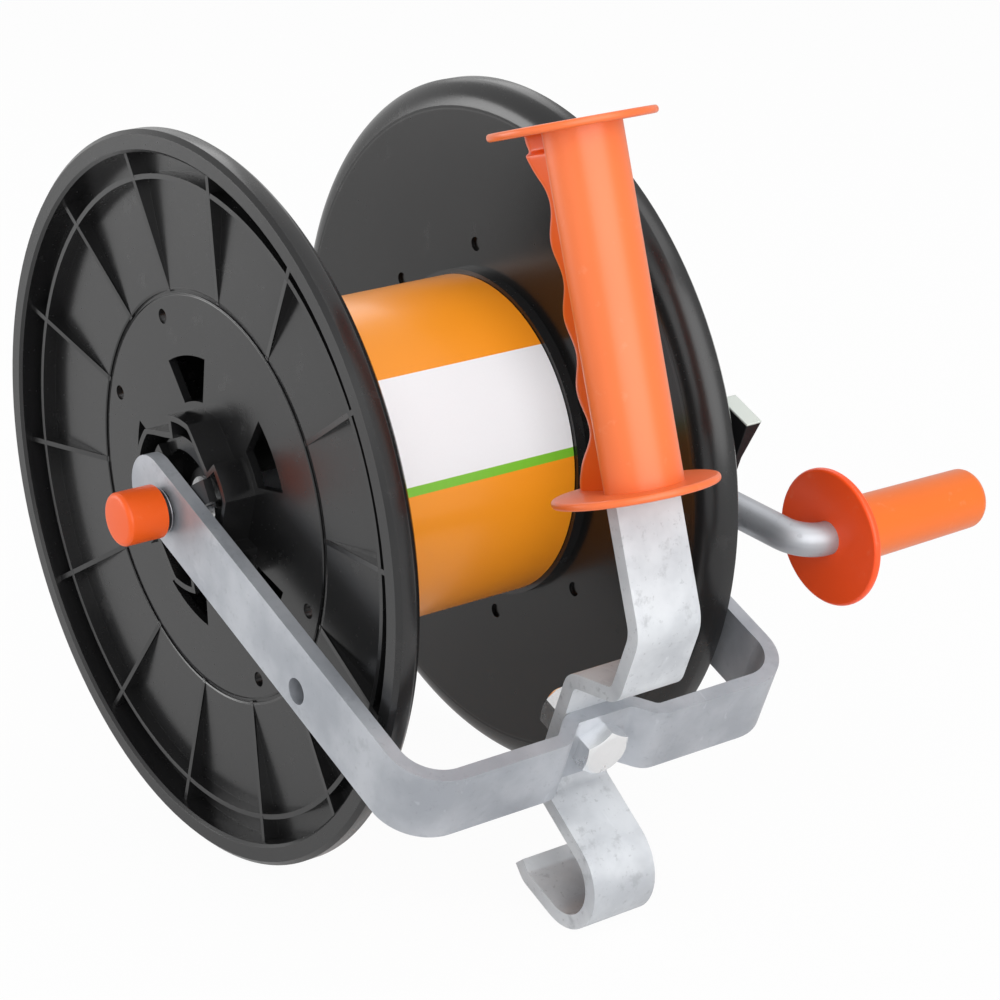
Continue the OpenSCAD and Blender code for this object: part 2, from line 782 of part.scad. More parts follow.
// Straight length of rod from the axle outwards, leaning away from the flange
module crank_straight(r, from, to) {
    translate([hub_mid, 0, 0])
        rotate([0, 0, flare])
            translate([0, -from, 0])
                rotate([90, 0, 0])
                    cylinder(r = r, h = to - from);
}

// Hub of the crank with its rod socket and ratchet wheel
module crank_hub() {
    color(black)
        tip()
            difference() {
                union() {
                    ratchet_wheel();
                    rod_x(hub_r, hub_face, hub_end);
                    intersection() {
                        in_crank() crank_straight(socket_r, 0, socket_end);
                        rod_x(wheel_r + socket_r, hub_face, 2 * hub_end);
                    }
                }
                rod_x(axle_r, hub_face - 1, hub_end + 1);
                in_crank() crank_straight(rod_r, rod_start, 2 * socket_end);
                hub_pin_hole(hole_past);
                rod_pin_hole(hole_past);
            }
}

// Wheel with a round notch for the pawl every thirty degrees
module ratchet_wheel() {
    slab_x(hub_face, hub_face + wheel_t)
        difference() {
            circle(wheel_r, $fn = 128);
            for (i = [0 : notch_count - 1])
                rotate(-mesh_phase - 360 * i / notch_count) translate([-mesh_r, 0]) circle(notch_r, $fn = 32);
        }
}

// Place of the pin that ties the crank hub to the axle
module hub_pin_hole(past) {
    in_crank()
        translate([hub_mid + wheel_t / 2, 0, -hub_r - past])
            cylinder(r = hub_pin_r, h = 2 * (hub_r + past));
}

// Pin that ties the crank hub to the axle
module hub_pin() {
    color(zinc) tip() hub_pin_hole(-pin_sink);
}

// Place of the pin that ties the rod into its socket
module rod_pin_hole(past) {
    mid = (rod_start + socket_end) / 2;
    in_crank()
        translate([hub_mid + mid * sin(flare), -mid * cos(flare), -socket_r - past])
            cylinder(r = rod_pin_r, h = 2 * (socket_r + past));
}

// Pin that ties the rod into its socket
module rod_pin() {
    color(zinc) tip() rod_pin_hole(-pin_sink);
}

// Bent steel rod of the crank
module crank_rod() {
    bend_x = corner_x - rod_cut * sin(flare) + rod_bend * cos(flare);
    bend_y = -crank_r + rod_bend;
    color(zinc)
        tip()
            difference() {
                in_crank() {
                    crank_straight(rod_r, rod_start, crank_r / cos(flare) - rod_cut);
                    translate([bend_x, bend_y, 0])
                        rotate([0, 0, 180 + flare - bend_lap])
                            rotate_extrude(angle = 90 - flare + 2 * bend_lap)
                                translate([rod_bend, 0])
                                    circle(rod_r - bend_thin / 2);
                    translate([0, -crank_r, 0]) rod_x(rod_r, bend_x, rod_end);
                }
                rod_pin_hole(hole_past);
            }
}

// Snap ring that keeps the crank grip on the rod
module grip_ring() {
    color(zinc)
        tip()
            in_crank()
                translate([0, -crank_r, 0])
                    turn_x()
                        translate([rod_r, ring_at])
                            square([ring_r - rod_r, ring_t]);
}

// Turning grip of the crank, with a disc on the drum side
module crank_grip() {
    bore = rod_r + run_fit;
    end_r = crank_grip_r - crank_taper;
    edge = 3;
    color([0.97, 0.5, 0.18])
        tip()
            in_crank()
                translate([0, -crank_r, 0])
                    turn_x()
                        polygon([[bore, grip_start], [crank_disc_r - 0.8, grip_start],
                                 [crank_disc_r, grip_start + 0.8],
                                 [crank_disc_r, grip_start + crank_disc_t - 0.8],
                                 [crank_disc_r - 0.8, grip_start + crank_disc_t],
                                 [crank_grip_r, grip_start + crank_disc_t], [end_r, grip_end - edge],
                                 [end_r - 0.3 * edge, grip_end - 0.3 * edge], [end_r - edge, grip_end],
                                 [0, grip_end], [0, rod_end + free_gap], [bore, rod_end + free_gap],
                                 [bore, ring_at + ring_t + free_gap],
                                 [ring_r + free_gap, ring_at + ring_t + free_gap],
                                 [ring_r + free_gap, ring_at - free_gap], [bore, ring_at - free_gap]]);
}

// Push knob of the drum lock
module lock_knob() {
    color(orange)
        tip()
            difference() {
                turn_x()
                    polygon([[0, -knob_end], [knob_r - 1.6, -knob_end], [knob_r - 0.5, -knob_end + 0.5],
                             [knob_r, -knob_end + 1.6], [knob_r, -knob_face - 1.2],
                             [knob_r - 1.2, -knob_face], [0, -knob_face]]);
                rod_x(recess_r, -knob_face - recess_len, 1 - knob_face);
                slab_x(-sleeve_end, -knob_face) rotate(90 - step_phase) double_d(0);
            }
}

// Sleeve with two flats that slides in the near arm, and the bar that drops into the collar
module lock_sleeve() {
    color(black)
        tip()
            difference() {
                union() {
                    slab_x(-sleeve_end, dog_t / 2 - dog_face) rotate(90 - step_phase) double_d(0);
                    at_angle(step_phase)
                        translate([-dog_face, -dog_len, -dog_w / 2])
                            cube([dog_t, 2 * dog_len, dog_w]);
                }
                rod_x(axle_r + run_fit, -sleeve_end - 1, dog_t - dog_face + 1);
            }
}

// Spring that pushes the lock knob out
module lock_spring() {
    half = spring_wire / 2;
    from = -knob_face - recess_len + half + 0.05;
    to = -arm_out - half - 0.05;
    color(zinc) tip() coil(spring_mid_r, spring_wire, spring_turns, from, to);
}

// Lever with a thumb pad at its top and a pawl towards the crank hub
module ratchet_lever() {
    back = pivot[0] + lever_w / 2;
    front = pivot[0] - lever_w / 2;
    color(black)
        tip()
            difference() {
                union() {
                    slab_x(lever_in, lever_out) {
                        translate(pivot) circle(lever_boss_r);
                        link(pivot, pawl_tip, lever_boss_r - 3, pawl_r);
                    }
                    slab_x(lever_in, lever_in + blade_t)
                        polygon([[front, pivot[1]], [back, pivot[1]], [back, lever_high - 3],
                                 [back - 3, lever_high], [front, lever_high]]);
                    translate([lever_in, back - 3, 0])
                        rotate([90, 0, 0])
                            linear_extrude(back - 3 - front)
                                polygon([[0, lever_high - pad_high], [blade_t, lever_high - pad_high],
                                         [pad_len, lever_high], [0, lever_high]]);
                }
                slab_x(lever_in - 1, lever_out + 1) translate(pivot) circle(hole_r);
            }
}

u_frame();
handle_strap();
frame_bolt();
frame_washer();
frame_nut();
hand_grip();
far_bush();
lever_bolt();
lever_washer();
lever_nut();
near_flange();
far_flange();
drum_core();
label_wrap();
axle();
axle_clip();
drive_pin();
thrust_washer();
crank_hub();
hub_pin();
crank_rod();
rod_pin();
grip_ring();
crank_grip();
lock_knob();
lock_sleeve();
lock_spring();
ratchet_lever();
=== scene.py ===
"""Looks of the electric fence reel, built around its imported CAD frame.

Lengths are in metres. Shapes that follow the tipped reel are worked out in its level frame, where the
frame arms run towards minus Y, and are turned about the axle by TILT into the shared frame.
"""

import bmesh
import bpy
import numpy as np
from mathutils import Matrix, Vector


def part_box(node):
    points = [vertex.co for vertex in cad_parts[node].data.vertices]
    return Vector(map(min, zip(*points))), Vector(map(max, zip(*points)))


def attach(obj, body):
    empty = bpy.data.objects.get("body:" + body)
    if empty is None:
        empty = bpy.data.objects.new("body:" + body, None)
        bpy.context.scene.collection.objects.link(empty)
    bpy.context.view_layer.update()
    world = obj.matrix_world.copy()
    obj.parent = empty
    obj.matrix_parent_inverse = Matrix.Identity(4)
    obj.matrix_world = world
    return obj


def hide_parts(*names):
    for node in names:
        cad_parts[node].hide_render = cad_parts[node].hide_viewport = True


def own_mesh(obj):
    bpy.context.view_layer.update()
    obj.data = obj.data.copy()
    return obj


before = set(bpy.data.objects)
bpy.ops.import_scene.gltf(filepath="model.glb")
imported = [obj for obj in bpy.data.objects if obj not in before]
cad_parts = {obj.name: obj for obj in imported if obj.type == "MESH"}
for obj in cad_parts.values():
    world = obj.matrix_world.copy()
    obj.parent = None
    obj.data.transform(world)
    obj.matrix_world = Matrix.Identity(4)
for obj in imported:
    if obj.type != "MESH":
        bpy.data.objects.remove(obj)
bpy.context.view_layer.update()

# Sizes of the reel, most of them shared with the solids
MM = 0.001
TILT = np.radians(25.416434406)
FLOOR_Z = -127 * MM

GRIP_R = 13.5 * MM
GRIP_LEN = 116 * MM
GRIP_DISC_R = 26.5 * MM
GRIP_DISC_T = 2.5 * MM
GRIP_DISC_BACK = 3 * MM
GRIP_LEAN = np.radians(39.2)
LEAN_BEND = np.array([-161 * MM, 60.6 * MM])
STRAP_FREE = 42.5 * MM
GRIP_FOOT = LEAN_BEND + STRAP_FREE * np.array([np.sin(GRIP_LEAN), np.cos(GRIP_LEAN)])
GRIP_BACK = 6.5 * MM
FIN_DEPTH = 26.5 * MM
FIN_WAIST = 7 * MM
FIN_FLARE = 18 * MM
FINGER_WAVE = 3.2 * MM
FINGER_START = 8 * MM
FINGER_PITCH = 23.2 * MM
FIN_T = 13 * MM
FIN_NOSE = 5 * MM
FIN_BLEND = 1.5 * MM
FINGERS = 4
POCKET_BELOW_DISC = 5.5 * MM
POCKET_SOFT = 0.25 * MM
POCKET_CUT = 0.4

SEAT_FACE = -148.75 * MM
WASHER_FACE = -138.75 * MM
BOLT_R = 5 * MM
BOLT_FLAT = 8 * MM
BOLT_HEAD_T = 6.4 * MM
BOLT_CROWN = 0.94 * BOLT_FLAT
BOLT_WASHER_T = 2 * MM
NUT_T = 8 * MM
BOLT_TAIL = 2.5 * MM
BOLT_CHAMFER = 0.8 * MM
THREAD_PITCH = 1.5 * MM
THREAD_DEEP = 0.45 * MM

KNOB_R = 9.25 * MM
KNOB_HOLLOW_R = 8.4 * MM
KNOB_FACE = -80.9 * MM
KNOB_END = -96.3 * MM
ARM_OUT = -77.6 * MM
SPRING_R = 7.69 * MM
SPRING_WIRE = 0.8 * MM
SPRING_TURNS = 5
SPRING_FAR = -86.9 * MM

CRANK_R = 118 * MM
CRANK_ANGLE = np.radians(12.7)
CRANK_GRIP_R = 11.7 * MM
CRANK_TAPER = 0.9 * MM
CRANK_DISC_R = 24.5 * MM
CRANK_DISC_T = 3 * MM
ROD_R = 6 * MM

LEVER_TOP = 73.3 * MM
GROOVE_R = 71.3 * MM
GROOVE_HALF = 1.5 * MM
GROOVE_FLOOR_HALF = 0.5 * MM
FLANGE_R = 127 * MM
WALL_OUT = 59.5 * MM
WALL_IN = 56.5 * MM
RIM_EDGE = 67.5 * MM
LIP_R = 11.7 * MM
LIP_REACH = 10.2 * MM
LIP_PROUD = 0.03 * MM
LIP_START = -0.06

# Widths of the rounded edges on copies of the solids
STEEL_EDGE = 0.7 * MM
NEAR_FLANGE_EDGE = 0.45 * MM
FAR_FLANGE_EDGE = 0.9 * MM
HUB_EDGE = 0.5 * MM
LEVER_EDGE = 0.6 * MM

# Angles round the core, in degrees, between which the wrap's bands lie
GREEN_FROM = 4.5
WHITE_FROM = 7.7
WHITE_TO = 45.2
BAND_SOFT = 0.08

# Mesh clean-up: distances for welding points and angles, in degrees, for edges
WELD_NEW = 2e-6
WELD_COPY = 1e-6
SLIVER = 1e-7
CREASE = 40.0
HEXAGON_CREASE = 18.0
FLAT_BELOW = 0.3
BEVEL_FROM = 32.0

# Light of the surroundings, and the share of plain white that the floor shows to the view and in mirrors
SURROUND_LIGHT = 0.5
SURROUND_SEEN = 1.0
FLOOR_SEEN = 0.96
FLOOR_MIRRORED = 0.4
FLOOR_HALF = 6.0

# Camera found from the photograph for a reel that is tipped by CAMERA_TIP, with its angles in degrees
CAMERA_TIP = 22.0
CAMERA_AZIMUTH = -36.28
CAMERA_ELEVATION = 20.78
CAMERA_PLACE = (-0.5313, -0.8094, 0.3527)
CAMERA_LENS = 105.27
CAMERA_SENSOR = 36.0


# Shader expressions
class Value:
    """A shader socket that takes part in Python arithmetic: each operator adds one Math node."""

    def __init__(self, finish, socket):
        self.finish = finish
        self.socket = socket

    def __add__(self, other):
        return self.finish.math("ADD", self, other)

    def __sub__(self, other):
        return self.finish.math("SUBTRACT", self, other)

    def __rsub__(self, other):
        return self.finish.math("SUBTRACT", other, self)

    def __mul__(self, other):
        return self.finish.math("MULTIPLY", self, other)

    __radd__ = __add__


class Finish:
    """A material around one Principled shader, with its pattern written as expressions."""

    def __init__(self, name, **constants):
        self.material = bpy.data.materials.new(name)
        self.material.use_nodes = True
        self.nodes = self.material.node_tree.nodes
        self.links = self.material.node_tree.links
        self.nodes.clear()
        self.shader = self.nodes.new("ShaderNodeBsdfPrincipled")
        self.output = self.nodes.new("ShaderNodeOutputMaterial")
        self.links.new(self.shader.outputs["BSDF"], self.output.inputs["Surface"])
        for socket, value in constants.items():
            self.set(socket.replace("_", " ").title().replace("Ior", "IOR"), value)

    def set(self, socket, value):
        """Feeds one socket of the shader with a number, a colour or a Value."""
        self.feed(self.shader.inputs[socket], value)

    def feed(self, socket, value):
        """Feeds one socket of any node; a colour of three parts gets its alpha."""
        if isinstance(value, Value):
            self.links.new(value.socket, socket)
        elif isinstance(value, tuple) and len(value) == 3 and len(socket.default_value) == 4:
            socket.default_value = (*value, 1.0)
        else:
            socket.default_value = value

    def node(self, kind, settings=None, sockets=None, out=0):
        """Any node: its type, its settings, the values or links of its sockets, and the output to use."""
        made = self.nodes.new(kind)
        for key, value in (settings or {}).items():
            setattr(made, key, value)
        for key, value in (sockets or {}).items():
            self.feed(made.inputs[key], value)
        return Value(self, made.outputs[out])

    def math(self, operation, a, b=0.0):
        """One Math node."""
        return self.node("ShaderNodeMath", {"operation": operation}, {0: a, 1: b})

    def place(self):
        """Object coordinates, which are the shared frame in metres."""
        return self.node("ShaderNodeTexCoord", out="Object")

    def level(self):
        """Object coordinates turned back about the axle, so that the frame arms run along Y."""
        return self.node("ShaderNodeMapping", {"vector_type": "POINT"},
                         {"Vector": self.place(), "Rotation": (-TILT, 0.0, 0.0)})

    def axes(self, vector):
        """The three parts of a vector."""
        made = self.nodes.new("ShaderNodeSeparateXYZ")
        self.feed(made.inputs[0], vector)
        return [Value(self, made.outputs[i]) for i in range(3)]

    def stretched(self, vector, scale):
        """A vector with each part scaled by itself, for streaks and scratches."""
        return self.node("ShaderNodeMapping", {"vector_type": "POINT"},
                         {"Vector": vector, "Scale": scale})

    def noise(self, scale, detail=3.0, roughness=0.5, vector=None):
        """Noise over the shared frame, or over another vector."""
        return self.node("ShaderNodeTexNoise", None,
                         {"Vector": vector or self.place(), "Scale": scale, "Detail": detail,
                          "Roughness": roughness})

    def ramp(self, value, low, high):
        """Smooth step of a value from 0 at low to 1 at high."""
        return self.node("ShaderNodeMapRange", {"interpolation_type": "SMOOTHSTEP"},
                         {"Value": value, "From Min": low, "From Max": high})

    def mix(self, factor, first, second):
        """Blend of two colours."""
        return self.node("ShaderNodeMix", {"data_type": "RGBA"},
                         {0: factor, 6: first, 7: second}, out=2)

    def bump(self, height, strength, distance):
        """Feeds the shader's normal with a height of a strength, over a distance."""
        self.set("Normal", self.node("ShaderNodeBump", None,
                                     {"Height": height, "Strength": strength, "Distance": distance}))


def shade(colour, factor):
    """A colour made lighter or darker by one factor."""
    return tuple(factor * part for part in colour)


def moulded_black(name, tone, rough, gloss):
    """Black moulded plastic: satin skin with slow flow marks, a fine grain, dust, a few dull scuffs and the
    soft shoulders of the round groove beside the flat middle disc.
    """
    f = Finish(name, specular_ior_level=gloss)
    flow = f.noise(16.0, 3.0)
    grain = f.noise(1900.0, 2.0)
    scuff = f.ramp(f.noise(75.0, 5.0, 0.65), 0.58, 0.74)
    dust = f.ramp(f.noise(620.0, 2.0), 0.66, 0.74)
    f.set("Base Color", f.mix(flow * 0.35 + scuff * 0.4 + dust * 0.25, (tone, tone, tone * 1.06),
                              (tone * 2.4, tone * 2.4, tone * 2.4)))
    f.set("Roughness", rough + (flow - 0.5) * 0.1 + scuff * 0.08 + dust * 0.05)
    x, y, z = f.axes(f.place())
    radius = f.math("SQRT", y * y + z * z)
    outside = f.ramp(f.math("ABSOLUTE", x), WALL_OUT - 1.2 * MM, WALL_OUT - 0.6 * MM)
    from_groove = f.math("ABSOLUTE", radius - GROOVE_R)
    groove = f.ramp(from_groove, GROOVE_HALF, GROOVE_FLOOR_HALF) * outside
    f.bump((grain * 0.4 + flow) * 0.05 - groove, 1.0, 0.0004)
    return f.material


def lever_black(name):
    """The same plastic, pale on its top face: a painted highlight of the glossy top."""
    f = Finish(name, specular_ior_level=0.1)
    flow = f.noise(40.0, 3.0)
    high = f.axes(f.level())[2]
    ragged = 0.6 * MM
    highlight_start, highlight_whole = LEVER_TOP - 0.9 * MM, LEVER_TOP - 0.3 * MM
    # Painted highlight: the top face turns pale grey, standing in for the glossy top catching the light.
    painted_top_highlight = f.ramp(high + (flow - 0.5) * ragged, highlight_start, highlight_whole)
    f.set("Base Color", f.mix(painted_top_highlight, (0.012, 0.012, 0.013), (0.62, 0.66, 0.62)))
    f.set("Roughness", 0.36 + (flow - 0.5) * 0.1 + painted_top_highlight * 0.1)
    f.bump(flow, 0.05, 0.0005)
    return f.material


def galvanised(name, dark, light, rough, metal, smudge):
    """Galvanised steel: a dull skin with soft clouds, fine specks, drawn scratches and darker smudges."""
    f = Finish(name, metallic=metal)
    cloud = f.noise(38.0, 4.0, 0.55)
    speck = f.ramp(f.noise(520.0, 3.0, 0.6), 0.6, 0.72)
    scratch = f.ramp(f.noise(240.0, 3.0, 0.6, f.stretched(f.level(), (1.0, 0.12, 0.5))), 0.66, 0.72)
    stain = f.ramp(f.noise(95.0, 5.0, 0.7), 0.56, 0.7)
    base = f.mix(f.ramp(cloud, 0.3, 0.7), dark, light)
    base = f.mix(stain * smudge, base, shade(dark, 0.62))
    base = f.mix(speck * smudge, base, shade(dark, 0.7))
    f.set("Base Color", f.mix(scratch * 0.3, base, shade(light, 1.15)))
    f.set("Roughness", rough + (cloud - 0.5) * 0.14 + stain * 0.06 - scratch * 0.08)
    f.bump(cloud * 0.5 + speck * 0.3 + stain * 0.2, 0.16, 0.0005)
    return f.material


def zinc_plate(name, base, rough, metal):
    """Zinc plated steel: clean grey metal with a faint haze, turning marks and small dull spots."""
    f = Finish(name, metallic=metal)
    haze = f.noise(80.0, 4.0)
    marks = f.noise(420.0, 2.0, vector=f.stretched(f.place(), (5.0, 1.0, 1.0)))
    spot = f.ramp(f.noise(260.0, 3.0), 0.62, 0.72)
    f.set("Base Color", f.mix(haze * 0.7 + spot * 0.5, base, shade(base, 0.74)))
    f.set("Roughness", rough + (haze - 0.5) * 0.16 + (marks - 0.5) * 0.08 + spot * 0.06)
    f.bump(marks + haze, 0.08, 0.0003)
    return f.material


def moulded_orange(name, base, deep, rough, gloss, painted_light_tint=None, painted_light_part=None):
    """Orange moulded plastic: slight colour drift, flow marks, rubbed pale spots and a fine skin grain.

    A part of it can take a deeper colour as painted light, against the paler rest of the part; the last
    argument gives how far a point lies in it.
    """
    f = Finish(name, specular_ior_level=gloss)
    drift = f.noise(20.0, 3.0)
    grain = f.noise(1700.0, 2.0)
    rub = f.ramp(f.noise(150.0, 4.0, 0.6), 0.62, 0.74)
    tinted = f.mix(drift * 0.7, base, deep)
    # Painted light: the masked part gets a deeper colour than the rest, as shaded and lit sides of one
    # plastic.
    if painted_light_tint:
        tinted = f.mix(painted_light_part(f), tinted, painted_light_tint)
    f.set("Base Color", f.mix(rub * 0.12, tinted, (0.95, 0.45, 0.28)))
    f.set("Roughness", rough + (drift - 0.5) * 0.1 + rub * 0.08)
    f.bump(grain * 0.4 + drift, 0.05, 0.0004)
    return f.material


def grip_fin(f):
    """How far a point lies in the hand grip's fin, its depth behind the middle of the strap: the mask of
    painted light that keeps the fin a deeper orange than the paler body.
    """
    x, y, z = f.axes(f.level())
    depth = (y - GRIP_FOOT[0]) * np.cos(GRIP_LEAN) - (z - GRIP_FOOT[1]) * np.sin(GRIP_LEAN)
    beside_fin, in_fin = 9 * MM, 7 * MM
    fin_start, fin_whole = 5 * MM, 8 * MM
    near_axis = f.ramp(f.math("ABSOLUTE", x), beside_fin, in_fin)
    return f.ramp(depth, fin_start, fin_whole) * near_axis


def crank_disc(f):
    """How far a point lies in the crank grip's disc, along the axle: the mask of painted shade that makes
    the disc a deeper red than the barrel.
    """
    x = f.axes(f.place())[0]
    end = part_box("crank_grip")[0][0] + CRANK_DISC_T
    soft = 0.6 * MM
    return f.ramp(x, end + soft, end)


def printed_wrap(name):
    """Printed film round the core: plain colour bands along the axle, with a print grain and creases."""
    f = Finish(name, coat_roughness=0.15)
    y, z = f.axes(f.place())[1:]
    angle = f.math("ARCTAN2", z, y * -1.0)

    def from_angle(degrees):
        return f.ramp(angle, np.radians(degrees - BAND_SOFT), np.radians(degrees + BAND_SOFT))

    white = from_angle(WHITE_FROM) * (1 - from_angle(WHITE_TO))
    green = from_angle(GREEN_FROM) * (1 - from_angle(WHITE_FROM))
    fade = f.noise(18.0, 2.0)
    grain = f.noise(2400.0, 1.0)
    orange = f.mix(fade * 0.7 + grain * 0.3, (1.0, 0.34, 0.012), (0.98, 0.31, 0.01))
    paper = f.mix(grain * 0.6 + fade * 0.4, (0.95, 0.95, 0.97), (0.9, 0.9, 0.93))
    colour = f.mix(white, orange, paper)
    f.set("Base Color", f.mix(green, colour, (0.21, 0.56, 0.03)))
    crease = f.noise(35.0, 3.0, vector=f.stretched(f.place(), (0.25, 1.0, 1.0)))
    f.set("Roughness", 0.34 + (fade - 0.5) * 0.08)
    f.set("Coat Weight", 0.15 + fade * 0.1)
    f.bump(crease, 0.04, 0.0006)
    return f.material


# Mesh helpers
def level_points(x, y, z):
    """Arrays of level coordinates, turned about the axle, as points of the shared frame."""
    x, y, z = np.broadcast_arrays(x, y, z)
    c, s = np.cos(TILT), np.sin(TILT)
    return np.stack([x, y * c - z * s, y * s + z * c], axis=-1)


def grid_faces(rows, cols):
    """Quads of a grid of rows by cols points that is closed along its columns."""
    i, j = np.meshgrid(np.arange(rows - 1), np.arange(cols), indexing="ij")
    here, there = i * cols, (i + 1) * cols
    k = (j + 1) % cols
    return np.stack([here + j, here + k, there + k, there + j], axis=-1).reshape(-1, 4)


def capped_faces(rows, cols):
    """The faces of such a grid with one more face over its first row and one over its last."""
    last = (rows - 1) * cols
    return grid_faces(rows, cols).tolist() + [list(range(cols)), list(range(last, last + cols))]


def settle(made, body, nodes):
    """Puts a finished piece on its body and the CAD nodes that it stands for."""
    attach(made, body)
    if nodes:
        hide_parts(*nodes)


def piece(name, points, faces, material, crease=CREASE):
    """A mesh object at the origin from points and faces, smooth but for edges over crease degrees."""
    mesh = bpy.data.meshes.new(name)
    mesh.from_pydata(points.reshape(-1, 3).tolist(), [], [list(face) for face in faces])
    made = bpy.data.objects.new(name, mesh)
    bpy.context.scene.collection.objects.link(made)
    mesh.materials.append(material)
    clean = bmesh.new()
    clean.from_mesh(mesh)
    bmesh.ops.remove_doubles(clean, verts=clean.verts, dist=WELD_NEW)
    bmesh.ops.dissolve_degenerate(clean, edges=clean.edges, dist=SLIVER)
    bmesh.ops.recalc_face_normals(clean, faces=clean.faces)
    clean.to_mesh(mesh)
    clean.free()
    mesh.shade_smooth()
    mesh.set_sharp_from_angle(angle=np.radians(crease))
    return made


def softened(node, name, material, width, body):
    """A copy of a CAD node with its sharp edges rounded by a narrow bevel, which stands for that node."""
    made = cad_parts[node].copy()
    made.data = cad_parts[node].data.copy()
    made.name = name
    made.parent = None
    for key in [k for k in made.keys() if k.startswith("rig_")]:
        del made[key]
    bpy.context.scene.collection.objects.link(made)
    mesh = made.data
    mesh.materials.clear()
    mesh.materials.append(material)
    clean = bmesh.new()
    clean.from_mesh(mesh)
    bmesh.ops.remove_doubles(clean, verts=clean.verts, dist=WELD_COPY)
    bmesh.ops.dissolve_limit(clean, angle_limit=np.radians(FLAT_BELOW), verts=clean.verts,
                             edges=clean.edges)
    clean.to_mesh(mesh)
    clean.free()
    mesh.shade_smooth()
    bevel = made.modifiers.new("edges", "BEVEL")
    bevel.limit_method = "ANGLE"
    bevel.angle_limit = np.radians(BEVEL_FROM)
    bevel.width = width
    bevel.segments = 2
    bevel.use_clamp_overlap = True
    flat = made.modifiers.new("flat_faces", "WEIGHTED_NORMAL")
    flat.mode = "FACE_AREA"
    flat.weight = 50
    flat.keep_sharp = False
    settle(made, body, [node])


def rounded(corners, radii, steps=7):
    """Points of a profile whose inner corners become arcs, each tangent to the two edges beside it."""
    corners = [np.array(c, float) for c in corners]
    points = [corners[0]]
    for before, corner, after, r in zip(corners[:-2], corners[1:-1], corners[2:], radii):
        a = (before - corner) / np.linalg.norm(before - corner)
        b = (after - corner) / np.linalg.norm(after - corner)
        half = np.arccos(np.clip(a @ b, -1, 1)) / 2
        reach = r / np.tan(half)
        middle = corner + (a + b) / np.linalg.norm(a + b) * r / np.sin(half)
        start, end = corner + a * reach - middle, corner + b * reach - middle
        blend = np.linspace(0, 1, steps)[:, None]
        arc = start * (1 - blend) + end * blend
        points.extend(middle + arc / np.linalg.norm(arc, axis=1)[:, None] * r)
    points.append(corners[-1])
    return np.array(points)


def revolved(name, profile, place, material, steps=96):
    """A profile of [radius, height] rows turned about a line.

    place maps arrays of two ways across that line and of the height along it to points of the frame.
    """
    turn = np.linspace(0, 2 * np.pi, steps, endpoint=False)
    radius, height = np.array(profile).T
    u = radius[:, None] * np.cos(turn)
    v = radius[:, None] * np.sin(turn)
    return piece(name, place(u, v, height[:, None]), grid_faces(len(profile), steps), material)


def smooth_max(a, b, soft):
    """The larger of two values with the change between them rounded over a length."""
    gap = np.clip(soft - np.abs(a - b), 0, None) / soft
    return np.maximum(a, b) + gap * gap * soft / 4


# Finishes on the solids
BLACK = moulded_black("moulded_black_plastic", tone=0.009, rough=0.24, gloss=0.5)
# Painted shade: a darker, less glossy copy of the same black plastic for the far flange, whose inside lies
# in shade between the flanges.
SHADED_BLACK = moulded_black("shaded_black_plastic", tone=0.006, rough=0.22, gloss=0.35)
HUB_BLACK = moulded_black("hub_black_plastic", tone=0.012, rough=0.32, gloss=0.6)
LEVER_BLACK = lever_black("lever_black_plastic")
BAR_STEEL = galvanised("galvanised_bar", dark=(0.335, 0.355, 0.39), light=(0.475, 0.495, 0.53),
                       rough=0.4, metal=0.42, smudge=0.25)
STRAP_STEEL = galvanised("galvanised_strap", dark=(0.45, 0.47, 0.5), light=(0.64, 0.66, 0.685),
                         rough=0.52, metal=0.25, smudge=0.45)
BRIGHT_ZINC = zinc_plate("bright_zinc", base=(0.95, 0.96, 0.97), rough=0.24, metal=0.9)
ROD_ZINC = zinc_plate("rod_zinc", base=(0.46, 0.475, 0.505), rough=0.46, metal=0.6)
SPRING_STEEL = zinc_plate("spring_steel", base=(0.3, 0.3, 0.32), rough=0.35, metal=1.0)
# Painted highlight: the hand grip's body is a paler orange than its fin, standing in for the body's broad
# highlight.
GRIP_ORANGE = moulded_orange("grip_orange", base=(0.82, 0.175, 0.04), deep=(0.8, 0.15, 0.03),
                             rough=0.36, gloss=0.6, painted_light_tint=(0.9, 0.125, 0.008), painted_light_part=grip_fin)
DISC_ORANGE = moulded_orange("grip_disc_orange", base=(0.82, 0.16, 0.035), deep=(0.8, 0.14, 0.028),
                             rough=0.36, gloss=0.6)
KNOB_ORANGE = moulded_orange("knob_orange", base=(0.86, 0.11, 0.008), deep=(0.82, 0.095, 0.006),
                             rough=0.4, gloss=0.4)
# Painted shade: the crank grip's disc is a deeper red than its barrel.
CRANK_ORANGE = moulded_orange("crank_orange", base=(0.82, 0.165, 0.014), deep=(0.79, 0.14, 0.01),
                              rough=0.34, gloss=0.5, painted_light_tint=(1.0, 0.09, 0.012), painted_light_part=crank_disc)
WRAP = printed_wrap("printed_wrap")

FINISHES = {
    "u_frame": BAR_STEEL,
    "handle_strap": STRAP_STEEL,
    "hand_grip": GRIP_ORANGE,
    "lock_knob": KNOB_ORANGE,
    "crank_grip": CRANK_ORANGE,
    "label_wrap": WRAP,
    "near_flange": BLACK,
    "far_flange": SHADED_BLACK,
    "drum_core": BLACK,
    "far_bush": HUB_BLACK,
    "crank_hub": HUB_BLACK,
    "lock_sleeve": HUB_BLACK,
    "ratchet_lever": LEVER_BLACK,
    "crank_rod": ROD_ZINC,
    "axle": ROD_ZINC,
    "lock_spring": SPRING_STEEL,
}
for node_name, node_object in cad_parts.items():
    node_object.data.materials.clear()
    node_object.data.materials.append(FINISHES.get(node_name, BRIGHT_ZINC))


